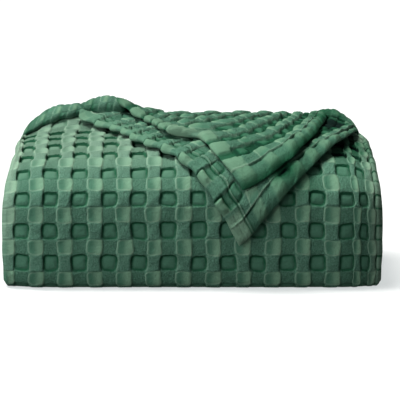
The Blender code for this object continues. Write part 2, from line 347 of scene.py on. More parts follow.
def relief_height(cells, across, along, weave, seed):
    """Height of the weave's relief above its sunken squares."""
    c = cells
    pillow = PILLOW_HEIGHT - weave.dish * dish_share(c.u, c.v)
    pillow = pillow - PILLOW_DROP * (1.0 - shoulder(c.in_row, SHOULDER))
    uneven = CELL_UNEVEN * cell_noise(c.i, c.j, seed + 2)
    uneven = uneven + CELL_TILT * c.side * cell_noise(c.i, c.j, seed + 3)
    bridge = BRIDGE_HEIGHT - BRIDGE_DROP * (1.0 - shoulder(-c.in_row, SHOULDER))
    creased = crumple(c.side, c.over, c.i, c.j, seed + 30) * (1.0 - c.row)
    raised = blend(bridge + creased, pillow + uneven, ramp(c.in_row, -BORDER, BORDER))
    raised = raised - STRIPE_DROP * (1.0 - shoulder(c.in_stripe, SHOULDER))
    raised = raised - weave.puff * (1.0 - shoulder(c.in_stripe, 0.25 * weave.across))

    in_gutter = across - weave.first_across - (c.gutter + 0.5) * weave.across
    flat = FLAT_HEIGHT + FLAT_SWELL * shoulder(-c.in_stripe, SHOULDER)
    flat = flat - FLAT_DROP * (1.0 - shoulder(c.in_row, FLAT_BORDER)) - weave.sink
    flat = flat + crumple(in_gutter, c.over, c.gutter, c.j, seed + 40)
    sunken = PIT_DEPTH + weave.crown * shoulder(c.in_pit, 1.8 * SHOULDER)
    sunken = sunken + PIT_UNEVEN * cell_noise(c.gutter, c.gap, seed + 6)
    low = blend(flat, sunken, ramp(c.in_pit, -0.0002, 0.0012))
    swells = ripples(across, along, (0.0004, 0.026, seed + 4), (0.0002, 0.01, seed + 5))
    return blend(low, raised, c.stripe) + swells


def relief_shifts(cells, across, along, weave, seed):
    """How far the weave strays in the cloth's plane: stripes that bulge, and a slow and a quick wander."""
    barrel = ramp(np.cos(TURN * cells.over / weave.along), -0.75, 0.75) - 0.42
    phase = TURN * (across - weave.first_across) / weave.across
    sideways = ripples(across, along, (WANDER, 0.055, seed), (WIGGLE, 0.014, seed + 7))
    lengthways = ripples(across, along, (WANDER, 0.05, seed + 1), (WIGGLE, 0.016, seed + 8))
    return STRIPE_BULGE * barrel * np.sin(phase) + sideways, lengthways


def relief_marks(cells, weave):
    """The weave's marks: grainy cells, painted highlights on lit sides, painted shade in pits and hollows.
    """
    c = cells
    on_pillow, on_flat = c.stripe * c.row, (1.0 - c.stripe) * c.row
    grain = c.stripe * (1.0 - c.row) + on_flat
    # A painted highlight on the lit right half of each pillow.
    warm = on_pillow * ramp(c.u, -0.35, 0.45)
    # Painted shade round the sunken squares, stronger at their upper sides, where shadow falls from above.
    upper = 0.5 + 0.5 * np.clip(-c.over / (0.5 * weave.along), -1.0, 1.0) * ramp(-c.in_row, 0.0, 0.001)
    border = (0.6 + 0.8 * upper) * bell(c.in_pit, 0.0006, 0.0016)
    # Painted shade in the left part of each pillow's dish, which faces away from the light.
    hollow = 0.25 * on_pillow * bell(c.u, -0.45, 0.35) * (weave.dish > 0.0)
    # Painted shade on the recessed flat cells and in the sunken squares.
    painted_flat_shade = on_flat * (0.2 + 110.0 * weave.sink)
    painted_pit_shade = unit(0.16 + 40.0 * weave.sink + weave.edge * border)
    depth = blend(painted_flat_shade, painted_pit_shade, ramp(c.in_pit, -0.0009, 0.0003)) + hollow
    # Painted highlights along the pillows' lit edges and beside the bridges.
    in_pillow = rounded_square(c.in_stripe, c.in_row, PILLOW_CORNER)
    lit_sides = np.maximum(ramp(-c.u, -0.2, 0.6), 0.8 * ramp(-c.v, 0.2, 0.8))
    pillow_rim_highlight = bell(in_pillow, LIGHT_EDGE, LIGHT_WIDTH) * lit_sides
    bridge_rim_highlight = 0.6 * (1.0 - c.row) * bell(c.in_stripe, LIGHT_EDGE, LIGHT_WIDTH) * ramp(-c.u, 0.0, 0.5)
    return Marks(grain, warm, depth, c.stripe * (c.row * pillow_rim_highlight + bridge_rim_highlight))


def waffle(across, along, weave, seed):
    """The weave's relief: height above its sunken squares, small shifts in the cloth's plane, and marks."""
    cells = weave_cells(across, along, weave)
    height = relief_height(cells, across, along, weave, seed)
    shifts = relief_shifts(cells, across, along, weave, seed)
    return Relief(height, *shifts, relief_marks(cells, weave))


def shaded(marks, shades, x, along):
    """The marks with painted shade added in deep creases and hollows."""
    return marks._replace(depth=np.clip(marks.depth + mound_height(shades, x, along), 0.0, DARKEST))


def cell_lines(start, stop, first, period, shares=CELL_SHARES):
    """Grid lines from start to stop, closer together at the borders between the weave's cells."""
    half = 0.5 * period
    low = math.floor((start - first) / half) - 1
    high = math.ceil((stop - first) / half) + 1
    lines = [first + half * (cell - 0.5 + share) for cell in range(low, high + 1) for share in shares]
    lines = [line for line in lines if start + LINE_MARGIN < line < stop - LINE_MARGIN]
    return np.array([start, *lines, stop])


# ---- meshes

WELD_DISTANCE = 1e-6
SLIVER_LENGTH = 1e-7


def cloth_object(name, points, faces, cloth, marks):
    """One closed piece of the cloth, with its weave coordinates and marks stored on its points."""
    mesh = bpy.data.meshes.new(name)
    mesh.from_pydata(points.reshape(-1, 3).tolist(), [], faces)
    vectors = mesh.attributes.new("cloth", "FLOAT_VECTOR", "POINT")
    flat = np.zeros((len(mesh.vertices), 3), np.float32)
    for k in (0, 1):
        flat[:, k] = cloth[k].ravel()
    vectors.data.foreach_set("vector", flat.ravel())
    for key, values in zip(Marks._fields, marks):
        layer = mesh.attributes.new(key, "FLOAT", "POINT")
        layer.data.foreach_set("value", np.asarray(values, np.float32).ravel())
    shape = bmesh.new()
    shape.from_mesh(mesh)
    bmesh.ops.remove_doubles(shape, verts=shape.verts, dist=WELD_DISTANCE)
    bmesh.ops.dissolve_degenerate(shape, edges=shape.edges, dist=SLIVER_LENGTH)
    bmesh.ops.recalc_face_normals(shape, faces=shape.faces)
    shape.to_mesh(mesh)
    shape.free()
    mesh.shade_smooth()
    thing = bpy.data.objects.new(name, mesh)
    bpy.context.scene.collection.objects.link(thing)
    return thing


def ring_faces(rings, count):
    """Quads between rings of count points each, and a cap at each end."""
    faces = []
    for r in range(rings - 1):
        a, b = r * count, (r + 1) * count
        faces += [(a + i, a + (i + 1) % count, b + (i + 1) % count, b + i) for i in range(count)]
    return faces + [tuple(range(count)), tuple(range((rings - 1) * count, rings * count))]


# ---- the wrap and the inner layers

INNER_COLUMNS = 26
EDGE_PLIES = 3
EDGE_POINTS = 13
EDGE_REACH = 0.0055
EDGE_SLIP = 0.0011
WRAP_START = -0.008
WRAP_END = 0.402
WRAP_SEED = 100
# Painted shadow on the wrap: under and beside the lower flap's right hem, and below the back fold.
WRAP_SHADES = mounds(
    (0.18, 0.255, 0.024, 0.05, 0.85), (0.155, 0.2, 0.022, 0.024, 0.5),
    (0.118, 0.145, 0.024, 0.026, 0.5), (-0.15, 0.385, 0.035, 0.01, 0.3),
)

# Towards the right end the wrap's stripes are pressed closer together.
PRESS_FROM, PRESS_SHARE, PRESS_SOFT = 0.17, 0.95, 0.006
FINE_STEPS = 4000


def wrap_across(x):
    """The weave's own coordinate across the wrap."""
    pressed = np.clip(x - PRESS_FROM, 0.0, None)
    return x + PRESS_SHARE * pressed * ramp(x, PRESS_FROM, PRESS_FROM + PRESS_SOFT)


# Over the top the wrap is drawn out: the weave's own coordinate at places along it.
ROW_PLACES = table(
    "along weave",
    (-0.05, -0.05), (0.16, 0.16), (0.209, 0.1997), (0.2535, 0.2341), (0.295, 0.2685),
    (0.339, 0.3029), (0.374, 0.3373), (0.41, 0.3717),
)
TOP_RELIEF = 1.45

# Over the top, the wrap's left part also spreads towards its end.
FAN = 0.0145
END_POWER = 5

# Right of the left end, the rows over the top lie further back, and so do those right of the lower flap.
ROW_DRIFT = 0.0105

# How far the wrap's ends stand out from their plain width, at places along it.
END_ROWS = table(
    "along left right",
    (0.0, -0.0015, 0.0008), (0.12, -0.0018, 0.001), (0.16, -0.0042, 0.0018), (0.2, -0.005, 0.0036),
    (0.24, -0.0056, 0.0056), (0.27, -0.004, 0.007), (0.3, -0.0014, 0.0092), (0.33, -0.0006, 0.0128),
    (0.36, -0.0006, 0.0146), (0.39, -0.0006, 0.011), (0.42, -0.001, 0.004),
)


def wrap_along(along):
    """The weave's own coordinate along the wrap."""
    return np.interp(along, ROW_PLACES.along, ROW_PLACES.weave)


def fan_out(x, along):
    """The wrap's spread over the top, and its uneven ends."""
    spread = ramp(-x, -0.06, 0.165) * fall(-x, 0.186, 0.204)
    x = x - FAN * spread * (0.3 * ramp(along, 0.12, 0.165) + 0.7 * ramp(along, 0.16, 0.34))
    left, right = (np.interp(along, END_ROWS.along, column) for column in (END_ROWS.left, END_ROWS.right))
    near_end = unit(np.abs(x) / HALF_WIDTH) ** END_POWER
    return x + near_end * np.where(x < 0.0, -left, right)


def row_drift(x, along):
    """How far back a row lies from where it is at the wrap's left end."""
    left = ramp(x, -0.155, -0.122) * fall(x, 0.02, 0.1) * ramp(along, 0.165, 0.205)
    right = ramp(x, 0.09, 0.13) * fall(x, 0.177, 0.19) * ramp(along, 0.126, 0.165)
    return ROW_DRIFT * (left + right) * ramp(WRAP_END - along, 0.0, 0.06)


def unpressed_columns():
    """Places across the wrap at the weave's grid lines."""
    fine = np.linspace(-HALF_WIDTH, HALF_WIDTH, FINE_STEPS)
    lines = cell_lines(wrap_across(-HALF_WIDTH + EDGE_REACH), wrap_across(HALF_WIDTH - EDGE_REACH),
                       WRAP_WEAVE.first_across, WRAP_WEAVE.across)
    return np.interp(lines, wrap_across(fine), fine)


def edge_bulge(q, p, seed):
    """How far a pressed edge of several plies stands out, at the share q of its thickness."""
    whole = 1.0 - np.abs(2.0 * q - 1.0) ** 2.6
    lobes = 0.7 + 0.3 * np.abs(np.sin(np.pi * EDGE_PLIES * q)) ** 0.6
    ply = np.minimum(np.floor(q * EDGE_PLIES), EDGE_PLIES - 1)
    slip = sum((ply == k) * ripple(p, p * 0.0, 0.06, seed + k) for k in range(EDGE_PLIES))
    return whole * (EDGE_REACH * lobes + EDGE_SLIP * slip)


def sheet_grid(rows, columns, back_columns):
    """A closed sheet's grid: distance along it, place across, share of its thickness and side at its edges.

    Each row goes over the outer face, down the right edge, back over the inner face and up the left edge.
    """
    q = np.linspace(0.0, 1.0, EDGE_POINTS + 2)[1:-1]
    edge = np.ones(EDGE_POINTS)
    across = np.concatenate([columns, columns[-1] * edge, back_columns[::-1], columns[0] * edge])
    through = np.concatenate([0.0 * columns, q, 1.0 + 0.0 * back_columns, q[::-1]])
    side = np.concatenate([0.0 * columns, edge, 0.0 * back_columns, -edge])
    along, across = np.meshgrid(rows, across, indexing="ij")
    return along, across, np.broadcast_to(through, along.shape), np.broadcast_to(side, along.shape)


def wrap_marks(marks, x, along):
    """The wrap's marks: painted sheen and darker painted shade over the top, painted light at the ends."""
    # Painted sheen over the top, painted light at the ends, darker painted shade and weaker pillow
    # highlights up there.
    on_top = ramp(along, 0.13, 0.23) * (1.0 - 0.8 * ramp(x, 0.02, 0.12))
    ends = ramp(-x, 0.182, 0.202) * ramp(along, 0.02, 0.12) + ramp(x, 0.184, 0.202)
    depth = unit(marks.depth * (1.0 + 0.7 * ramp(along, 0.16, 0.22))) * wrap_calm(along)
    rim = np.clip(marks.rim + 0.75 * on_top + 0.9 * ends, 0.0, 1.4)
    marks = marks._replace(depth=depth, warm=marks.warm * (1.0 - 0.5 * on_top), rim=rim)
    return shaded(marks, WRAP_SHADES, x, along)


def wrap_calm(along):
    """How much of its relief the wrap has: less under the bundle and towards its far end."""
    far = 0.55 * ramp(along, 0.352, 0.362) + 0.35 * ramp(along, 0.382, 0.39)
    return ramp(along, 0.008, 0.03) * (1.0 - far)


def wrap_piece():
    """The cloth up the front and over the top."""
    columns = unpressed_columns()
    rows = cell_lines(WRAP_START, wrap_along(WRAP_END), WRAP_WEAVE.first_along, WRAP_WEAVE.along)
    rows = np.interp(rows, ROW_PLACES.weave, ROW_PLACES.along)
    back_columns = np.linspace(columns[0], columns[-1], INNER_COLUMNS)
    cloth_y, cloth_x, q, side = sheet_grid(rows, columns, back_columns)
    y_outer, z_outer = on_outer(rows, 0.0)
    narrowing = 1.0 - TOP_NARROWING / HALF_WIDTH * ramp(z_outer, 0.06, 0.15)
    thickness = wrap_thickness(y_outer, z_outer > 0.1)[:, None]

    relief = waffle(wrap_across(cloth_x), wrap_along(cloth_y), WRAP_WEAVE, WRAP_SEED)
    fade = ramp(HALF_WIDTH - EDGE_REACH - np.abs(cloth_x), -0.0005, 0.004) * (q == 0.0)
    amount = 1.0 + (TOP_RELIEF - 1.0) * ramp(cloth_y, 0.14, 0.2)
    top = (relief.height - RELIEF_TOP) * amount * fade * wrap_calm(cloth_y)
    stray = fade * ramp(cloth_y, 0.0, 0.02) * ramp(WRAP_END - cloth_y, 0.0, 0.02)
    along = cloth_y + relief.along * stray + row_drift(cloth_x, cloth_y)
    x = (cloth_x + relief.across * fade) * narrowing[:, None]
    x = fan_out(x, along) + side * edge_bulge(q, along, WRAP_SEED + 100)
    y, z = on_outer(along, top - thickness * q)
    points = settle(x, y, z, -thickness * q)
    marks = wrap_marks(relief.marks, cloth_x, cloth_y)
    return cloth_object("wrap", points, ring_faces(*x.shape), (cloth_x, cloth_y), marks)


# A place on an inner layer's middle: half its thickness, its two ends, and its share of the relief.
Station = namedtuple("Station", "y z half left right relief")
BACK_RELIEF_Y = (0.095, 0.115)
FOLD_THINNING = 0.14


def inner_pitch(y):
    """Height of one inner layer with its gap."""
    y = max(y, PRESSED_FROM_Y)
    ceiling = np.interp(y, CEILING[:, 0], CEILING[:, 1]) - GAP
    return (ceiling - INNER_BASE) / INNER_LAYERS


def inner_station(layer, y, left, right):
    """A place on the middle of an inner layer, counted from the top."""
    pitch = inner_pitch(y)
    z = INNER_BASE + (INNER_LAYERS - layer - 0.5) * pitch
    relief = float(ramp(y, *BACK_RELIEF_Y))
    return Station(y, z, 0.5 * (pitch - GAP), left, right, relief)


def turn(start, end, reach, lean, steps):
    """Stations round a fold from one layer to the next, without the two given ones."""
    stations = []
    for angle in np.linspace(0.0, np.pi, steps + 2)[1:-1]:
        share = 0.5 * (1.0 - np.cos(angle))
        mixed = [a + share * (b - a) for a, b in zip(start, end)]
        mixed[0] += reach * np.sin(angle)
        mixed[1] += lean * reach * np.sin(angle)
        mixed[2] *= 1.0 - FOLD_THINNING * np.sin(angle)
        stations.append(Station(*mixed))
    return stations


BACK_ZONE = (0.092, 0.102, 0.109, 0.114, 0.118, 0.122, 0.1255)
LAYER_STEPS = 13
BACK_TURN_STEPS = 18
FRONT_TURN_STEPS = 6
FLOOR_END = -0.112
END_SLIP = 0.0012
LAYER_REACH = 0.1995
RELIEF_REACH = 0.193
INNER_SEED = 300


def run_between(layer, start_fold, end_fold):
    """Stations along an inner layer between two folds, closer together towards the back."""
    low, high = sorted((start_fold.y, end_fold.y))
    places = list(np.linspace(low, BACK_ZONE[0] - 0.008, LAYER_STEPS))
    places += [PRESSED_FROM_Y] if low < PRESSED_FROM_Y - 0.002 else []
    places += [y for y in BACK_ZONE if y < high - 0.001] + [high]
    places = sorted(places, reverse=start_fold.y > end_fold.y)
    stations = []
    for y in places:
        share = (y - start_fold.y) / (end_fold.y - start_fold.y)
        ends = [start_fold[k] + share * (end_fold[k] - start_fold[k]) for k in (1, 2)]
        stations.append(inner_station(layer, y, *ends))
    return stations


def slope(near, far):
    """Rise of the sheet's middle along y between two stations."""
    return (far.z - near.z) / (far.y - near.y)


def inner_stations():
    """The back-and-forth run of the inner layers, then the fold to the floor and the run along it."""
    ends = [UPPER_TURN]
    for front, back in zip(FRONT_FOLDS, BACK_FOLDS):
        ends += [front, back]
    stations = []
    for layer in range(INNER_LAYERS):
        run = run_between(layer, ends[layer], ends[layer + 1])
        if stations:
            last, first = stations[-1], run[0]
            at_front = layer % 2
            lean = 0.5 * (slope(stations[-2], last) + slope(first, run[1]))
            reach = (-0.5 if at_front else 0.5) * (last.z - first.z)
            steps = FRONT_TURN_STEPS if at_front else BACK_TURN_STEPS
            stations += turn(last, first, reach, lean, steps)
        stations += run
    half = 0.5 * WRAP_THICKNESS
    base = []
    for y in [*BACK_ZONE[::-1], *np.linspace(0.08, FLOOR_END, 12)]:
        inset = HALF_WIDTH - FLOOR_NARROWING * min(1.0, (y + 0.12) / 0.25)
        base.append(Station(y, half, half, -inset, inset, 0.0))
    base.insert(0, Station(BACK_FOLDS[-1].y, half, half, -0.2, 0.2, 0.3))
    last = stations[-1]
    return stations + turn(last, base[0], 0.5 * (last.z - base[0].z), 0.0, BACK_TURN_STEPS) + base


def inner_piece():
    """The folded layers inside the wrap, whose folds show at the back and whose edges show at the sides."""
    stations = inner_stations()
    y, z, *others = np.transpose(stations)
    middle = np.stack([y, z], axis=1)
    half, left, right, amount = (column[:, None] for column in others)
    normals = left_normals(middle)
    # On the folds the outer face is longer than the middle.
    outward = lengths(middle + half * normals)
    columns = cell_lines(-LAYER_REACH, LAYER_REACH, BACK_WEAVE.first_across, BACK_WEAVE.across,
                         CELL_SHARES[::2])
    shares = (columns - columns[0]) / (columns[-1] - columns[0])
    p, share, q, side = sheet_grid(lengths(middle), shares, np.linspace(0.0, 1.0, INNER_COLUMNS))
    left = left + EDGE_REACH + END_SLIP * ripple(p, p * 0.0, 0.11, INNER_SEED + 1)
    right = right - EDGE_REACH - END_SLIP * ripple(p, p * 0.0, 0.12, INNER_SEED + 2)
    x = left + share * (right - left)
    x = x + side * edge_bulge(q, p + 0.4 * side, INNER_SEED + 10)
    relief = waffle(x, outward[:, None] + 0.0 * p, BACK_WEAVE, INNER_SEED + 20)
    fade = ramp(RELIEF_REACH - np.abs(x), 0.0, 0.005)
    top = (relief.height - RELIEF_TOP) * amount * fade * (q == 0.0)
    offset = half * (1.0 - 2.0 * q) + top
    y, z = (middle[:, k, None] + offset * normals[:, k, None] for k in (0, 1))
    return cloth_object("inner_layers", settle(x, y, z), ring_faces(*p.shape), (x, p), relief.marks)


# ---- the turned-back corners

# A flap has its own coordinates from its corner, where both its edges start: a from its right hem and b
# from its left hem.
# left_lean, right_lean: the degrees by which its sides lean from straight back.
# left_edge, right_edge: where they really lie; left_reach, right_reach: how far in they pull the cloth.
# base: its offset from the wrap; level: its height for the humps; uneven: its field's unevenness.
# scallop: how far the stripes stand out of its left side; taper: how much its right hem narrows.
# right_roll: how far in that hem is round; under_shade: how dark the painted shade on its underside is;
# thin_from: where it thins.
# turn_from, turn_offset, turn_radius: its fold round the back edge; end, side: where it is cut off.
# shade: painted shade all over it; shades: painted shadow in its dark hollows;
# lifts: where it stands off what is under it.
Flap = namedtuple(
    "Flap",
    "name left_lean right_lean left_edge right_edge left_reach right_reach weave seed base level "
    "scallop uneven taper right_roll under_shade thin_from turn_from turn_offset turn_radius end side "
    "shade shades lifts",
)

LOWER_FLAP = Flap(
    name="lower_flap",
    left_lean=31.0,
    right_lean=42.0,
    left_edge=table(
        "x along",
        (0.0505, 0.0715), (0.042, 0.087), (0.034, 0.102), (0.024, 0.116), (0.007, 0.143),
        (-0.01, 0.166), (-0.027, 0.192), (-0.045, 0.216), (-0.069, 0.255), (-0.082, 0.29),
        (-0.098, 0.324), (-0.115, 0.348), (-0.13, 0.365), (-0.139, 0.381), (-0.145, 0.396),
        (-0.156, 0.43),
    ),
    right_edge=table(
        "x along",
        (0.0505, 0.0715), (0.064, 0.083), (0.075, 0.097), (0.088, 0.112), (0.1035, 0.1285),
        (0.116, 0.143), (0.13, 0.161), (0.145, 0.185), (0.16, 0.214), (0.176, 0.251),
        (0.189, 0.29), (0.197, 0.338), (0.202, 0.376), (0.206, 0.4), (0.21, 0.44),
    ),
    left_reach=(0.02, 0.12),
    right_reach=(0.05, 0.34),
    weave=LOWER_WEAVE,
    seed=400,
    base=0.0015,
    level=0.0083,
    scallop=-0.003,
    uneven=0.0004,
    taper=0.55,
    right_roll=0.007,
    under_shade=0.22,
    thin_from=0.16,
    turn_from=0.4,
    turn_offset=0.00075,
    turn_radius=0.005,
    end=0.426,
    side=0.1985,
    shade=0.1,
    # Painted shadow in the hollows under the right fold and under the upper flap's hem.
    shades=mounds(
        (0.168, 0.345, 0.022, 0.04, 1.6), (0.148, 0.31, 0.022, 0.05, 1.1),
        (0.126, 0.215, 0.013, 0.042, 0.65), (0.096, 0.156, 0.022, 0.018, 0.6),
        (0.092, 0.15, 0.02, 0.018, 0.6), (-0.02, 0.24, 0.022, 0.012, 0.6),
    ),
    lifts=mounds(
        (-0.132, 0.37, 0.022, 0.03, -0.0011), (0.166, 0.345, 0.016, 0.035, -0.0012),
        (0.168, 0.215, 0.03, 0.05, 0.006), (0.192, 0.29, 0.022, 0.06, 0.006),
        (0.09, 0.12, 0.04, 0.02, 0.0015),
    ),
)

UPPER_FLAP = Flap(
    name="upper_flap",
    left_lean=31.0,
    right_lean=34.0,
    left_edge=table(
        "x along",
        (0.054, 0.1262), (0.048, 0.135), (0.042, 0.143), (0.036, 0.152), (0.029, 0.163),
        (0.023, 0.175), (0.013, 0.206), (0.004, 0.224), (-0.025, 0.233), (-0.037, 0.264),
        (-0.048, 0.31), (-0.062, 0.35), (-0.078, 0.374), (-0.09, 0.39), (-0.098, 0.408),
        (-0.106, 0.46),
    ),
    right_edge=table(
        "x along",
        (0.054, 0.1262), (0.064, 0.129), (0.075, 0.135), (0.089, 0.145), (0.099, 0.154),
        (0.113, 0.167), (0.13, 0.208), (0.141, 0.242), (0.151, 0.291), (0.159, 0.34),
        (0.166, 0.393), (0.172, 0.46),
    ),
    left_reach=(0.01, 0.1),
    right_reach=(0.02, 0.24),
    weave=UPPER_WEAVE,
    seed=500,
    base=0.009,
    level=0.0135,
    scallop=0.0022,
    uneven=0.0012,
    taper=0.0,
    right_roll=0.009,
    under_shade=0.62,
    thin_from=0.22,
    turn_from=0.402,
    turn_offset=-0.002,
    turn_radius=0.014,
    end=0.456,
    side=0.19,
    shade=0.29,
    # Painted shadow in the upper flap's shadowed hollows.
    shades=mounds(
        (-0.094, 0.395, 0.006, 0.02, 0.7), (0.062, 0.19, 0.02, 0.03, 0.18),
        (0.15, 0.355, 0.014, 0.04, 0.6),
    ),
    lifts=mounds(
        (-0.035, 0.235, 0.02, 0.025, 0.005), (-0.062, 0.27, 0.016, 0.025, 0.0045),
        (0.11, 0.18, 0.022, 0.05, 0.0045), (0.138, 0.25, 0.022, 0.045, 0.003),
        (0.158, 0.39, 0.02, 0.05, -0.0022), (-0.065, 0.4, 0.03, 0.04, 0.0022),
        (0.015, 0.395, 0.05, 0.035, -0.0013),
    ),
)

FLAP_SHARES = (0.0, 0.06, 0.13, 0.22, 0.33, 0.44, 0.56, 0.67, 0.78, 0.87, 0.94)
HEM_LINES = (
    0.0, 0.0002, 0.0006, 0.0012, 0.002, 0.0031, 0.0044, 0.0059, 0.0072, 0.0084, 0.0094, 0.0102, 0.011,
    0.012, 0.0134, 0.015, 0.0165, 0.0176, 0.0185, 0.0193, 0.0201, 0.021, 0.0221, 0.0233, 0.0246,
)
FLAP_LENGTH = 0.44
EDGE_STEPS = 8
HEM_WIDTH = 0.0193
HEM_TAPER = (0.13, 0.25)
HEM_SOFT = 0.0008
HEM_ROLL = 0.0048
SEAM_AT, SEAM_WIDTH = HEM_WIDTH - 0.0006, 0.0009
RIDGE_AT = HEM_WIDTH + 0.0014
SECOND_SEAM_AT = HEM_WIDTH + 0.0032
SHEET_CORE = 0.002
SHEET_MIDDLE = 0.0028
LOWEST_LIFT = 0.0004
CALM_HEIGHT = PILLOW_HEIGHT - 0.0008
CALM_SHARE, CALM_REACH = 0.5, 0.03


def side_place(lean, edge, at, lobes, share):
    """Places along a leaning side of a flap, moved as its real edge strays from a straight one."""
    angle = math.radians(lean)
    direction = np.array([math.sin(angle), math.cos(angle)])
    normal = np.array([direction[1], -direction[0]])
    curve = smooth_curve(edge, EDGE_STEPS)
    curve = curve - curve[0]
    distances, offsets = curve @ direction, curve @ normal
    order = np.argsort(distances)
    shift = (np.interp(at, distances[order], offsets[order]) - lobes) * share
    return [at * direction[k] + shift * normal[k] for k in (0, 1)]


def flap_place(flap, a, b):
    """Where a flap's own coordinates lie: a from the right hem, b from the left hem."""
    a = a - flap.taper * ramp(b, *HEM_TAPER) * np.minimum(a, HEM_WIDTH)
    lobes = np.cos(TURN * (a - flap.weave.first_across) / flap.weave.across)
    lobes = flap.scallop * lobes * ramp(a, 0.02, 0.05) * (0.4 + 0.6 * ramp(a, 0.1, 0.15))
    left = side_place(-flap.left_lean, flap.left_edge, a, lobes, fall(b, *flap.left_reach))
    right = side_place(flap.right_lean, flap.right_edge, b, 0.0, fall(a, *flap.right_reach))
    return [corner[0] + left[k] + right[k] for k, corner in enumerate(flap.left_edge)]


def lay_flap(flap, along, offset):
    """A flap's place in the (y, z) plane: on the wrap, then round its fold at the back and in under it."""
    y, z = on_outer(np.minimum(along, flap.turn_from), offset)
    centre_y, centre_z = on_outer(flap.turn_from, flap.turn_offset)
    edge_y, edge_z = on_outer(flap.turn_from, flap.turn_offset + 1.0)
    normal = np.array([edge_y - centre_y, edge_z - centre_z])
    tangent = np.array([normal[1], -normal[0]])
    beyond = along - flap.turn_from
    angle = np.clip(beyond / flap.turn_radius, 0.0, math.pi)
    inward = np.maximum(beyond - math.pi * flap.turn_radius, 0.0)
    out = offset - flap.turn_offset
    cos, sin = np.cos(angle), np.sin(angle)
    round_y = centre_y + out * (cos * normal[0] + sin * tangent[0]) - inward * tangent[0]
    round_z = centre_z + out * (cos * normal[1] + sin * tangent[1]) - inward * tangent[1]
    turned = beyond > 0.0
    return np.where(turned, round_y, y), np.where(turned, round_z, z)


def over_marks(marks, inside, grain, warm, depth):
    """The marks with a hem's own in its share of the cloth."""
    return Marks(blend(marks.grain, grain, inside), blend(marks.warm, warm, inside),
                 blend(marks.depth, depth, inside), marks.rim * (1.0 - inside))


def in_hem(distance):
    """1 in a hem, 0 inside its seam."""
    return fall(distance, HEM_WIDTH - HEM_SOFT, HEM_WIDTH + HEM_SOFT)


# The small tubes of the lower flap's left hem: their middle line and size, and where in a period they open.
TUBE_AT, TUBE_REACH, TUBE_HEIGHT = 0.0046, 0.0058, 0.0086
MOUTH_PHASE, LIP_PHASE = 0.755, 0.83
TUBE_END = 0.0104  # where the crease beside the tubes begins

# The upper flap's left edge has no seam, and fine gathers where it is puffed.
RUFFLE_LENGTH = 0.0052


def right_hem(height, marks, a, b, flap):
    """The rolled hem on a flap's right edge, its seam and the ridge inside the seam."""
    j = (b - flap.weave.first_along) / flap.weave.along
    pillow = ramp(np.cos(TURN * j), -0.35, 0.55)
    thin = 1.0 - 0.62 * ramp(b, flap.thin_from, flap.thin_from + 0.1)
    band = 0.0044 + 0.0026 * (pillow - 0.5) + 0.0018 * np.sin(np.pi * unit(a / HEM_WIDTH))
    band = band + ripples(a, b, (0.0007, 0.02, flap.seed + 21), (0.0003, 0.008, flap.seed + 24))
    inside = in_hem(a)
    height = blend(height, band * thin, inside)
    near = fall(a, HEM_WIDTH + 0.002, HEM_WIDTH + 0.008) * (1.0 - inside) + inside
    height = np.maximum(height, (0.0046 + 0.001 * pillow) * near * (1.0 - inside))
    slit = ramp(ripple(b, a * 0.0, 0.026, flap.seed + 22), 0.35, 0.75)
    seam = bell(a, SEAM_AT, SEAM_WIDTH)
    ridge = bell(a, RIDGE_AT, 0.001)
    # Painted shade on the hem's outer part, which is turned under.
    under = flap.under_shade * fall(a, 0.0, 0.0115)
    # Painted highlight on the hem's pillows, painted shade in its seam and slits, painted highlight on the
    # ridge.
    marks = over_marks(marks, inside, 0.7 * (1.0 - 0.8 * pillow), 0.8 * pillow, 0.1 + under)
    marks = marks._replace(depth=marks.depth + (0.12 + 0.8 * slit) * seam, rim=marks.rim + 0.7 * ridge)
    return height - (0.0002 + 0.0018 * slit) * seam + 0.001 * ridge, marks


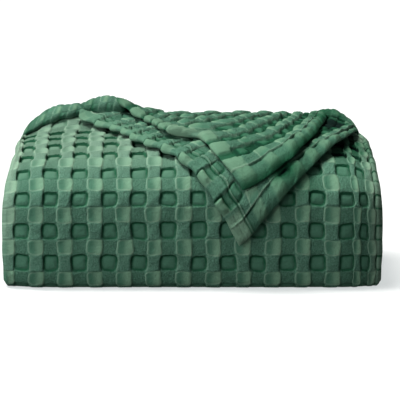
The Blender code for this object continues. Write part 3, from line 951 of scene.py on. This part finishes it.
def left_hem(height, marks, a, b, flap):
    """The hem on a flap's left edge: flat blocks between short tubes that open at their upper ends."""
    i = (a - flap.weave.first_across) / flap.weave.across
    phase = np.mod(i, 1.0)
    block = np.maximum(ramp(np.cos(TURN * i), -0.08, 0.08), fall(a, 0.018, 0.022))
    between = 1.0 - block
    on_top = ramp(a, 0.13, 0.2)
    at_corner = fall(a, 0.026, 0.034)
    plain_end = ramp(a, 0.338, 0.35)
    inside = in_hem(b)

    flat = 0.0048 - 0.001 * bell(b, 0.01, 0.001) + 0.0004 * ripple(a, b, 0.009, flap.seed + 23)
    tube = (TUBE_HEIGHT - 0.0024 * on_top) * np.sqrt(unit(1.0 - ((b - TUBE_AT) / TUBE_REACH) ** 2))
    tube = flat + (tube - flat) * ramp(phase, 0.22, 0.45)
    beside = 0.0024 * ramp(b, TUBE_END, 0.012)
    # Each tube's mouth is sunk, and it gets a painted shadow from the block above it.
    mouth = bell(phase, MOUTH_PHASE, 0.035 + 0.035 * on_top)
    mouth = mouth * fall(b, TUBE_END, 0.0118) * ramp(a, 0.03, 0.04)
    band = block * flat + between * np.maximum(tube, beside)
    band = band * (1.0 - 0.85 * mouth) + 0.0014 * bell(phase, LIP_PHASE, 0.03)
    height = blend(blend(height, band, inside), 0.0004, plain_end)
    # At its plain end the hem loses its painted shade and takes painted light instead.
    marks = marks._replace(depth=marks.depth * (1.0 - 0.8 * plain_end), rim=marks.rim + 0.7 * plain_end)

    # Painted shadow in the tubes' mouths, painted shade in the crease and recess beside them, and a painted
    # highlight on the tubes, over the top and at the corner.
    crease = bell(b, 0.0106, 0.0012) * between
    recess = ramp(b, 0.0106, 0.0116) * between
    depth = unit(1.1 * mouth + 0.9 * crease + 0.35 * recess + 0.06 * block)
    depth = depth * (1.0 - 0.35 * on_top) * (1.0 - plain_end)
    grain = (0.75 * block + 0.5 * recess) * (1.0 - 0.6 * np.maximum(at_corner, on_top))
    warm = np.maximum(0.8 * between * (1.0 - recess), np.maximum(0.4 * on_top, 0.9 * at_corner))
    marks = over_marks(marks, inside, grain, warm, depth)

    # Painted shade in both seams; painted highlights on the ridge, round the blocks and at the corner.
    seam = bell(b, SEAM_AT, SEAM_WIDTH) * (1.0 - plain_end)
    ridge = bell(b, RIDGE_AT, 0.0008)
    second = bell(b, SECOND_SEAM_AT, 0.0008)
    shifted = np.mod(i + 0.5, 1.0)
    around = (bell(shifted, 0.25, 0.025) + bell(shifted, 0.75, 0.025)) * (1.0 - mouth)
    rim = marks.rim + 0.8 * ridge + inside * (0.35 * around + 0.45 * at_corner)
    marks = marks._replace(depth=marks.depth + 0.7 * seam + 0.5 * second, rim=rim)
    return height - 0.002 * seam + 0.0014 * ridge - 0.001 * second, marks


def soft_left_edge(height, marks, a, b, flap):
    """A flap's left edge without a visible seam: the stripes' ends puff out over it."""
    i = (a - flap.weave.first_across) / flap.weave.across
    swell = np.cos(TURN * i)
    facet = ramp(swell, -0.9, -0.45)
    ruffle = np.sin(TURN * (a + 0.002 * ripple(a, b, 0.02, flap.seed + 25)) / RUFFLE_LENGTH)
    back = ramp(a, 0.085, 0.11) * fall(a, 0.13, 0.15)
    band = 0.0006 + 0.0056 * facet * (0.75 + 0.25 * swell) + back * (0.003 + 0.0009 * ruffle)
    inside = fall(b, 0.012, 0.0155)
    # Painted highlight on the puffed facets and painted shade between them.
    marks = over_marks(marks, inside, 0.5 * (1.0 - facet), 0.9 * facet, 0.65 * (1.0 - facet) * (1.0 - back))
    # Where the edge is puffed it takes painted light and loses painted shade.
    puffed = back * fall(b, 0.016, 0.03)
    rim = marks.rim + 0.1 * inside * facet + 0.45 * puffed
    marks = marks._replace(depth=marks.depth * (1.0 - 0.8 * puffed), rim=rim)
    height = height + puffed * np.maximum(0.005 - height, 0.0)
    return blend(height, band, inside), marks


def hem_lines(first, period, length):
    """Grid lines from a hem's edge inwards."""
    inner = cell_lines(HEM_LINES[-1], length, first, period, FLAP_SHARES)
    return np.concatenate([HEM_LINES[:-1], inner])


def flap_relief(flap, forms, a, b, x, along, relief):
    """A flap's height and marks: its weave with the forms of its two edges."""
    height, marks = relief.height, relief.marks
    swells = ripples(a, b, (1.0, 0.026, flap.seed + 31), (0.5, 0.011, flap.seed + 32))
    height = height + flap.uneven * swells
    for form in forms:
        height, marks = form(height, marks, a, b, flap)
    # Painted shade all over the flap and in its shadowed hollows.
    marks = shaded(marks._replace(depth=marks.depth + flap.shade), flap.shades, x, along)
    calm = 1.0 - CALM_SHARE * ramp(along, flap.turn_from - CALM_REACH, flap.turn_from)
    return blend(CALM_HEIGHT, height, calm), marks


def flap_piece(flap, forms):
    """A turned-back corner of the cloth, laid over what is under it."""
    a_lines = hem_lines(flap.weave.first_across, flap.weave.across, FLAP_LENGTH)
    b_lines = hem_lines(flap.weave.first_along, flap.weave.along, FLAP_LENGTH)
    a, b = np.meshgrid(a_lines, b_lines, indexing="ij")
    relief = waffle(a, b, flap.weave, flap.seed)
    free = ramp(a, HEM_WIDTH, HEM_WIDTH + 0.006) * ramp(b, HEM_WIDTH, HEM_WIDTH + 0.006)
    x, along = flap_place(flap, a + free * relief.across, b + free * relief.along)
    inside = (along < flap.end) & (x < flap.side)
    keep = inside[:-1, :-1] | inside[1:, :-1] | inside[:-1, 1:] | inside[1:, 1:]
    x, along = np.minimum(x, flap.side), np.minimum(along, flap.end)

    height, marks = flap_relief(flap, forms, a, b, x, along, relief)
    rim = shoulder(a, flap.right_roll) * shoulder(b, HEM_ROLL) * shoulder(flap.side - x, HEM_ROLL)
    lift = np.maximum(flap.base + mound_height(flap.lifts, x, along), LOWEST_LIFT) + SHEET_MIDDLE
    layers = []
    for offset in (lift + (SHEET_CORE + height - SHEET_MIDDLE) * rim, lift - SHEET_MIDDLE * rim):
        y, z = lay_flap(flap, along, offset)
        layers.append(settle(x, y, z, flap.level))
    faces = flap_faces(keep)
    used = sorted({index for face in faces for index in face})
    renumber = {index: k for k, index in enumerate(used)}
    faces = [tuple(renumber[index] for index in face) for face in faces]
    points = np.stack(layers).reshape(-1, 3)[used]
    a, b, *marks = (np.stack([one, one]).reshape(-1)[used] for one in (a, b, *marks))
    return cloth_object(flap.name, points, faces, (a, b), marks)


def flap_faces(keep):
    """Faces of a flap's two sides over the kept cells, with walls where the cloth is cut off."""
    rows, columns = keep.shape
    width = columns + 1
    under = (rows + 1) * width
    faces = []
    for r in range(rows):
        for c in range(columns):
            if not keep[r, c]:
                continue
            corners = (r * width + c, r * width + c + 1, (r + 1) * width + c + 1, (r + 1) * width + c)
            faces.append(corners)
            faces.append(tuple(under + corner for corner in corners[::-1]))
            if r + 1 == rows or not keep[r + 1, c]:
                faces.append((corners[3], corners[2], under + corners[2], under + corners[3]))
            if c + 1 == columns or not keep[r, c + 1]:
                faces.append((corners[2], corners[1], under + corners[1], under + corners[2]))
    return faces


# ---- the puffed folds at the back

# Each row gives a roll's front and back places along the wrap, and its low and high offsets, at one x.
# shade: painted shade over the whole roll.
Roll = namedtuple("Roll", "name rows level shade end_reach seed")
BACK_ROLL = Roll("back_fold", table(
    "x front back low high",
    (-0.205, 0.344, 0.39, -0.005, 0.003), (-0.1975, 0.351, 0.412, -0.005, 0.0072),
    (-0.183, 0.364, 0.418, -0.005, 0.009), (-0.167, 0.372, 0.42, -0.005, 0.0106),
    (-0.15, 0.378, 0.422, -0.005, 0.0114), (-0.14, 0.386, 0.424, -0.005, 0.0126),
    (-0.125, 0.396, 0.424, -0.005, 0.0136), (-0.105, 0.4, 0.426, -0.005, 0.012),
), level=0.0, shade=0.12, end_reach=0.006, seed=600)
UPPER_ROLL = Roll("upper_fold", table(
    "x front back low high",
    (-0.143, 0.395, 0.415, -0.009, 0.005), (-0.133, 0.39, 0.422, -0.008, 0.0092),
    (-0.125, 0.386, 0.424, -0.008, 0.0122), (-0.115, 0.383, 0.425, -0.008, 0.0158),
    (-0.1, 0.383, 0.425, -0.008, 0.0178), (-0.08, 0.39, 0.424, -0.003, 0.0165),
), level=0.0135, shade=0.12, end_reach=0.007, seed=640)
RIGHT_ROLL = Roll("right_fold", table(
    "x front back low high",
    (0.15, 0.395, 0.42, -0.002, 0.01), (0.164, 0.386, 0.424, -0.001, 0.015),
    (0.177, 0.382, 0.424, -0.001, 0.0158), (0.189, 0.379, 0.42, -0.002, 0.0138),
    (0.195, 0.377, 0.415, -0.003, 0.0118), (0.204, 0.37, 0.405, -0.008, 0.0046),
), level=0.0043, shade=0.62, end_reach=0.006, seed=680)
ROLL_RELIEF = 0.38
ROLL_SLANT = 0.12
ROLL_GIRTH = 0.02  # the cloth's length for each radian round a roll
ROLL_SQUARE = 0.82
COLUMNS_PER_METRE = 900


def squarer(share):
    """A circle's cosine or sine made that of a slightly squarer outline."""
    return np.sign(share) * np.abs(share) ** ROLL_SQUARE


def roll_piece(roll):
    """A puffed fold of the cloth along the back, with the weave drawn together on it."""
    left, right = roll.rows.x[0], roll.rows.x[-1]
    x_lines = np.linspace(left, right, 2 + int(COLUMNS_PER_METRE * (right - left)))
    turns = np.linspace(0.0, TURN, 73)[:-1]
    x, angle = np.meshgrid(x_lines, turns, indexing="ij")
    front, back, low, high = (np.interp(x, roll.rows.x, column) for column in roll.rows[1:])
    end = np.minimum(x - left, right - x)
    share = shoulder(end, roll.end_reach)
    around = ROLL_GIRTH * angle
    relief = waffle(x + ROLL_SLANT * around, around, ROLL_WEAVE, roll.seed)
    puff = ROLL_RELIEF * (relief.height - RELIEF_TOP) * ramp(end, 0.0, 0.006)
    puff = puff + 0.0008 * ripple(x, around, 0.03, roll.seed + 20)
    along = 0.5 * (front + back) + (0.5 * (back - front) * share + puff) * squarer(np.cos(angle))
    offset = 0.5 * (low + high) + (0.5 * (high - low) * share + puff) * squarer(np.sin(angle))
    y, z = on_outer(np.minimum(along, ALONG[-1]), offset)
    points = settle(x, y + np.maximum(along - ALONG[-1], 0.0), z, roll.level)

    # Painted shade on the roll's underside and in the creases between its segments, added to the roll's own
    # painted shade; patch makes the darkness vary at random.
    under = ramp(-np.sin(angle + 0.5), -0.2, 0.8)
    phase = np.mod((x - ROLL_WEAVE.first_across) / ROLL_WEAVE.across + 0.5, 1.0)
    patch = 0.22 * ripple(x, around * 0.3, 0.045, roll.seed + 21)
    depth = 0.35 * relief.marks.depth + roll.shade + 0.3 * under + 0.45 * bell(phase, 0.5, 0.07) + patch
    marks = relief.marks._replace(depth=unit(depth))
    return cloth_object(roll.name, points, ring_faces(*x.shape), (x, around), marks)


# ---- finish


def attribute(tree, name):
    """An attribute of the cloth's points."""
    made = tree.nodes.new("ShaderNodeAttribute")
    made.attribute_name = name
    return made


def feed(tree, socket, value):
    """Link a socket to a node's input, or set the input to a constant."""
    if isinstance(value, bpy.types.NodeSocket):
        tree.links.new(value, socket)
    else:
        socket.default_value = value


def mix_colours(tree, factor, first, second):
    """A mix of two colours; each of the three is a socket or a constant."""
    made = tree.nodes.new("ShaderNodeMix")
    made.data_type = "RGBA"
    feed(tree, made.inputs[0], factor)
    feed(tree, made.inputs[6], first)
    feed(tree, made.inputs[7], second)
    return made.outputs[2]


def maths(tree, operation, *values, clamp=False):
    """One sum on two or three values; each is a socket or a constant."""
    made = tree.nodes.new("ShaderNodeMath")
    made.operation = operation
    made.use_clamp = clamp
    for socket, value in zip(made.inputs, values):
        feed(tree, socket, value)
    return made.outputs[0]


def scaled(tree, value, gain, shift=None, clamp=False):
    """A value times gain, plus shift if there is one."""
    if shift is None:
        return maths(tree, "MULTIPLY", value, gain, clamp=clamp)
    return maths(tree, "MULTIPLY_ADD", value, gain, shift, clamp=clamp)


def added(tree, first, second):
    """The sum of two values."""
    return maths(tree, "ADD", first, second)


def texture(tree, kind, vector, inputs, **settings):
    """The value of a texture over the cloth."""
    made = tree.nodes.new(kind)
    for key, value in settings.items():
        setattr(made, key, value)
    for key, value in inputs.items():
        made.inputs[key].default_value = value
    tree.links.new(vector, made.inputs["Vector"])
    return made.outputs["Fac"]


def noise(tree, vector, scale, detail=2.0):
    """A noise texture's value."""
    return texture(tree, "ShaderNodeTexNoise", vector, {"Scale": scale, "Detail": detail})


def wave_threads(tree, vector, direction, scale, distortion):
    """Fine parallel threads across the cloth."""
    inputs = {"Scale": scale, "Distortion": distortion, "Detail": 2.0, "Detail Scale": 2.0}
    return texture(tree, "ShaderNodeTexWave", vector, inputs, wave_type="BANDS", bands_direction=direction)


DYE = ((0.0225, 0.06, 0.04, 1.0), (0.035, 0.085, 0.057, 1.0))
# Painted highlight on the pillows' lit halves.
PILLOW_HIGHLIGHT_COLOUR = (0.06, 0.114, 0.075, 1.0)
MOTTLE_COLOUR = (0.016, 0.05, 0.034, 1.0)
SPECK_COLOUR = (0.062, 0.124, 0.092, 1.0)
# Painted highlights and sheen, painted shade, and the near-black painted shadow of the deepest places.
PAINTED_HIGHLIGHT_COLOUR = (0.145, 0.198, 0.15, 1.0)
PAINTED_SHADE_COLOUR = (0.0046, 0.033, 0.0155, 1.0)
PAINTED_SHADOW_COLOUR = (0.0006, 0.0036, 0.003, 1.0)


def cotton():
    """Green waffle cotton: smooth pillows, ribbed grainy cells, fuzz, uneven dye, painted light and shade.
    """
    material = bpy.data.materials.new("waffle_cotton")
    material.use_nodes = True
    tree = material.node_tree
    shader = tree.nodes["Principled BSDF"]
    cloth = attribute(tree, "cloth").outputs["Vector"]
    grain, warm, depth, rim = (attribute(tree, name).outputs["Fac"] for name in Marks._fields)

    colour = mix_colours(tree, noise(tree, cloth, 60.0, 3.0), *DYE)
    mottle = scaled(tree, noise(tree, cloth, 260.0, 3.0), 1.8, -0.95, clamp=True)
    speck = scaled(tree, noise(tree, cloth, 560.0, 2.0), 2.2, -0.75, clamp=True)
    # Over the dye: the pillows' painted highlight, random mottle, specks in the grainy cells, painted
    # highlights and sheen, painted shade and near-black painted shadow.
    for factor, second in (
        (warm, PILLOW_HIGHLIGHT_COLOUR),
        (scaled(tree, mottle, 0.3), MOTTLE_COLOUR),
        (scaled(tree, grain, scaled(tree, speck, 0.7)), SPECK_COLOUR),
        (scaled(tree, rim, 0.4), PAINTED_HIGHLIGHT_COLOUR),
        (scaled(tree, depth, 0.95), PAINTED_SHADE_COLOUR),
        (scaled(tree, depth, DARKEST, -DARKEST), PAINTED_SHADOW_COLOUR),
    ):
        colour = mix_colours(tree, factor, colour, second)
    tree.links.new(colour, shader.inputs["Base Color"])
    shader.inputs["Roughness"].default_value = 0.9
    shader.inputs["Specular IOR Level"].default_value = 0.02

    ribs = scaled(tree, wave_threads(tree, cloth, "Y", 330.0, 4.0), 0.3)
    rough = added(tree, ribs, scaled(tree, noise(tree, cloth, 480.0, 4.0), 1.6))
    rough = scaled(tree, rough, scaled(tree, grain, 0.9, 0.5))
    rough = added(tree, rough, scaled(tree, noise(tree, cloth, 170.0, 3.0), 1.3))
    fuzz = scaled(tree, noise(tree, cloth, 1300.0, 3.0), 0.35)
    threads = scaled(tree, wave_threads(tree, cloth, "X", 400.0, 2.0), 0.1)
    total = added(tree, added(tree, rough, fuzz), threads)
    bump = tree.nodes.new("ShaderNodeBump")
    bump.inputs["Strength"].default_value = 1.0
    bump.inputs["Distance"].default_value = 0.001
    tree.links.new(total, bump.inputs["Height"])
    tree.links.new(bump.outputs["Normal"], shader.inputs["Normal"])
    return material


def plain(name, colour, roughness):
    """A plain matt material for the stage."""
    material = bpy.data.materials.new(name)
    material.use_nodes = True
    shader = material.node_tree.nodes["Principled BSDF"]
    shader.inputs["Base Color"].default_value = colour
    shader.inputs["Roughness"].default_value = roughness
    return material


# ---- stage, light and camera

FLOOR_SIZE = 60.0
FLOOR_COLOUR = (0.13, 0.13, 0.13, 1.0)
FLOOR_GLOW = 0.6
LIT_PLACE = (0.0, 0.0, 0.08)
AREA_COLOUR = (0.97, 0.99, 1.0)
SUN_COLOUR = (1.0, 0.985, 0.95)
SUN_TOWARDS = (0.35, -0.08, -1.0)
AIM = Vector((0.0093, 0.0063, 0.0785))
CAMERA_DISTANCE = 1.6
CAMERA_ELEVATION = 7.0
FOCAL_PIXELS = 1372.0
PHOTO_PIXELS = 400
SENSOR_WIDTH = 36.0


def floor():
    """A pale floor just under the bundle. Its own faint glow keeps the bundle's shadow soft."""
    bpy.ops.mesh.primitive_plane_add(size=FLOOR_SIZE, location=(0.0, 0.0, -0.0004))
    plane = bpy.context.object
    plane.name = "floor"
    finish = plain("floor", FLOOR_COLOUR, 0.7)
    shader = finish.node_tree.nodes["Principled BSDF"]
    shader.inputs["Emission Color"].default_value = (0.95, 1.0, 1.0, 1.0)
    shader.inputs["Emission Strength"].default_value = FLOOR_GLOW
    plane.data.materials.append(finish)
    plane.visible_diffuse = False


def add_light(name, kind, towards, **settings):
    """A light that shines in a direction, with its own settings."""
    data = bpy.data.lights.new(name, kind)
    for key, value in settings.items():
        setattr(data, key, value)
    thing = bpy.data.objects.new(name, data)
    thing.rotation_euler = Vector(towards).to_track_quat("-Z", "Y").to_euler()
    bpy.context.scene.collection.objects.link(thing)
    return thing


def area_light(name, place, size, power):
    """A square soft light that points at the bundle."""
    settings = {"shape": "SQUARE", "size": size, "energy": power, "color": AREA_COLOUR}
    thing = add_light(name, "AREA", Vector(LIT_PLACE) - Vector(place), **settings)
    thing.location = place
    thing.visible_camera = False


def surroundings():
    """White near the horizon, dimmer above and below it, so that the room lights the bundle softly."""
    world = bpy.data.worlds.new("room")
    bpy.context.scene.world = world
    world.use_nodes = True
    tree = world.node_tree
    background = tree.nodes["Background"]
    background.inputs["Color"].default_value = (1.0, 1.0, 1.0, 1.0)
    direction = tree.nodes.new("ShaderNodeTexCoord")
    parts = tree.nodes.new("ShaderNodeSeparateXYZ")
    tree.links.new(direction.outputs["Generated"], parts.inputs[0])
    from_horizon = maths(tree, "ABSOLUTE", parts.outputs["Z"])
    dimming = tree.nodes.new("ShaderNodeMapRange")
    for name, value in (("From Min", 0.07), ("From Max", 0.22), ("To Min", 1.1), ("To Max", 0.3)):
        dimming.inputs[name].default_value = value
    tree.links.new(from_horizon, dimming.inputs["Value"])
    tree.links.new(dimming.outputs["Result"], background.inputs["Strength"])


def camera():
    """The photo's view: level, slightly from above, from the front."""
    data = bpy.data.cameras.new("camera")
    data.sensor_width = SENSOR_WIDTH
    data.lens = SENSOR_WIDTH * FOCAL_PIXELS / PHOTO_PIXELS
    thing = bpy.data.objects.new("camera", data)
    angle = math.radians(CAMERA_ELEVATION)
    thing.location = AIM + CAMERA_DISTANCE * Vector((0.0, -math.cos(angle), math.sin(angle)))
    thing.rotation_euler = (AIM - thing.location).to_track_quat("-Z", "Y").to_euler()
    bpy.context.scene.collection.objects.link(thing)
    bpy.context.scene.camera = thing


def main():
    """Build the pieces, place them in the frame and light them."""
    bpy.context.scene.view_settings.view_transform = "Standard"
    material = cotton()
    pieces = (
        (wrap_piece(), (0.41, 0.42), None, "inner_layers"),
        (flap_piece(LOWER_FLAP, (right_hem, left_hem)), (0.36, 0.32), 0.09, "wrap"),
        (flap_piece(UPPER_FLAP, (soft_left_edge, right_hem)), (0.34, 0.3), 0.06, "lower_flap"),
        (roll_piece(BACK_ROLL), (0.085, 0.07), None, "wrap"),
        (roll_piece(UPPER_ROLL), (0.07, 0.06), None, "lower_flap"),
        (roll_piece(RIGHT_ROLL), (0.055, 0.055), None, "lower_flap"),
        (inner_piece(), (0.4, 2.35), None, "wrap"),
    )
    for piece, flat, area, under in pieces:
        piece.data.materials.append(material)
        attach(piece, "root")
        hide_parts("blanket")
    floor()
    add_light("sun", "SUN", SUN_TOWARDS, energy=12.4, angle=math.radians(30.0), color=SUN_COLOUR)
    area_light("front", (-0.9, -1.5, 0.7), size=1.0, power=34.0)
    area_light("side", (-0.45, -0.4, 0.3), size=0.25, power=1.8)
    surroundings()
    camera()


main()
